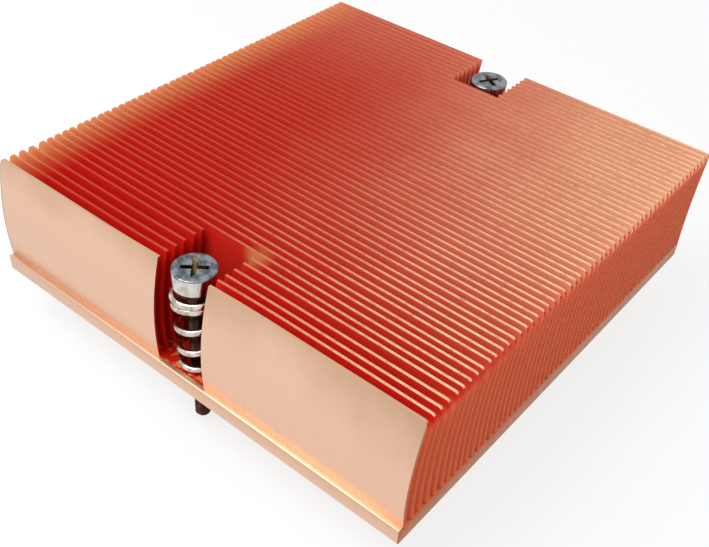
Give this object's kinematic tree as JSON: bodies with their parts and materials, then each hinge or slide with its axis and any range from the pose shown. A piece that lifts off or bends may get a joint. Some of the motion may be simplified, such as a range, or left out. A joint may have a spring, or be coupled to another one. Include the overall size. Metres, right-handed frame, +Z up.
{
  "type": "passive server cpu heatsink",
  "caption": "Low copper processor cooler: bowed fins skived from its own base plate, with sprung captive screws in notches at the front and rear edges.",
  "frame": {"origin": "centre of the base plate's underside, the face that rests on the processor", "axes": "+Z up through the fins, +X along the fins, +Y across them with the front screw at -Y"},
  "size_m": [0.0986, 0.1009, 0.0354],
  "materials": {
    "copper": "bare skived copper",
    "plated_steel": "bright nickel plate",
    "spring_steel": "bright plated wire",
    "clip_steel": "plain spring steel"
  },
  "bodies": {
    "heatsink": {"finned_base": "copper", "front_spring": "spring_steel", "rear_spring": "spring_steel"},
    "front_clip": {"front_retaining_clip": "clip_steel"},
    "front_screw": {"front_captive_screw": "plated_steel"},
    "rear_clip": {"rear_retaining_clip": "clip_steel"},
    "rear_screw": {"rear_captive_screw": "plated_steel"}
  },
  "joints": [
    {"name": "front_screw_press", "type": "slide", "parent": "heatsink", "child": "front_clip", "axis": [0, 0, -1], "range_m": [0, 0.008], "stiffness_N_per_m": 20000, "springref_m": -0.001, "deforming": ["front_spring"]},
    {"name": "front_screw_turn", "type": "hinge", "parent": "front_clip", "child": "front_screw", "pos_m": [0, -0.04445, 0.0006], "axis": [0, 0, 1], "continuous": true},
    {"name": "rear_screw_press", "type": "slide", "parent": "heatsink", "child": "rear_clip", "axis": [0, 0, -1], "range_m": [0, 0.008], "stiffness_N_per_m": 20000, "springref_m": -0.001, "deforming": ["rear_spring"]},
    {"name": "rear_screw_turn", "type": "hinge", "parent": "rear_clip", "child": "rear_screw", "pos_m": [0, 0.04445, 0.0006], "axis": [0, 0, 1], "continuous": true}
  ]
}
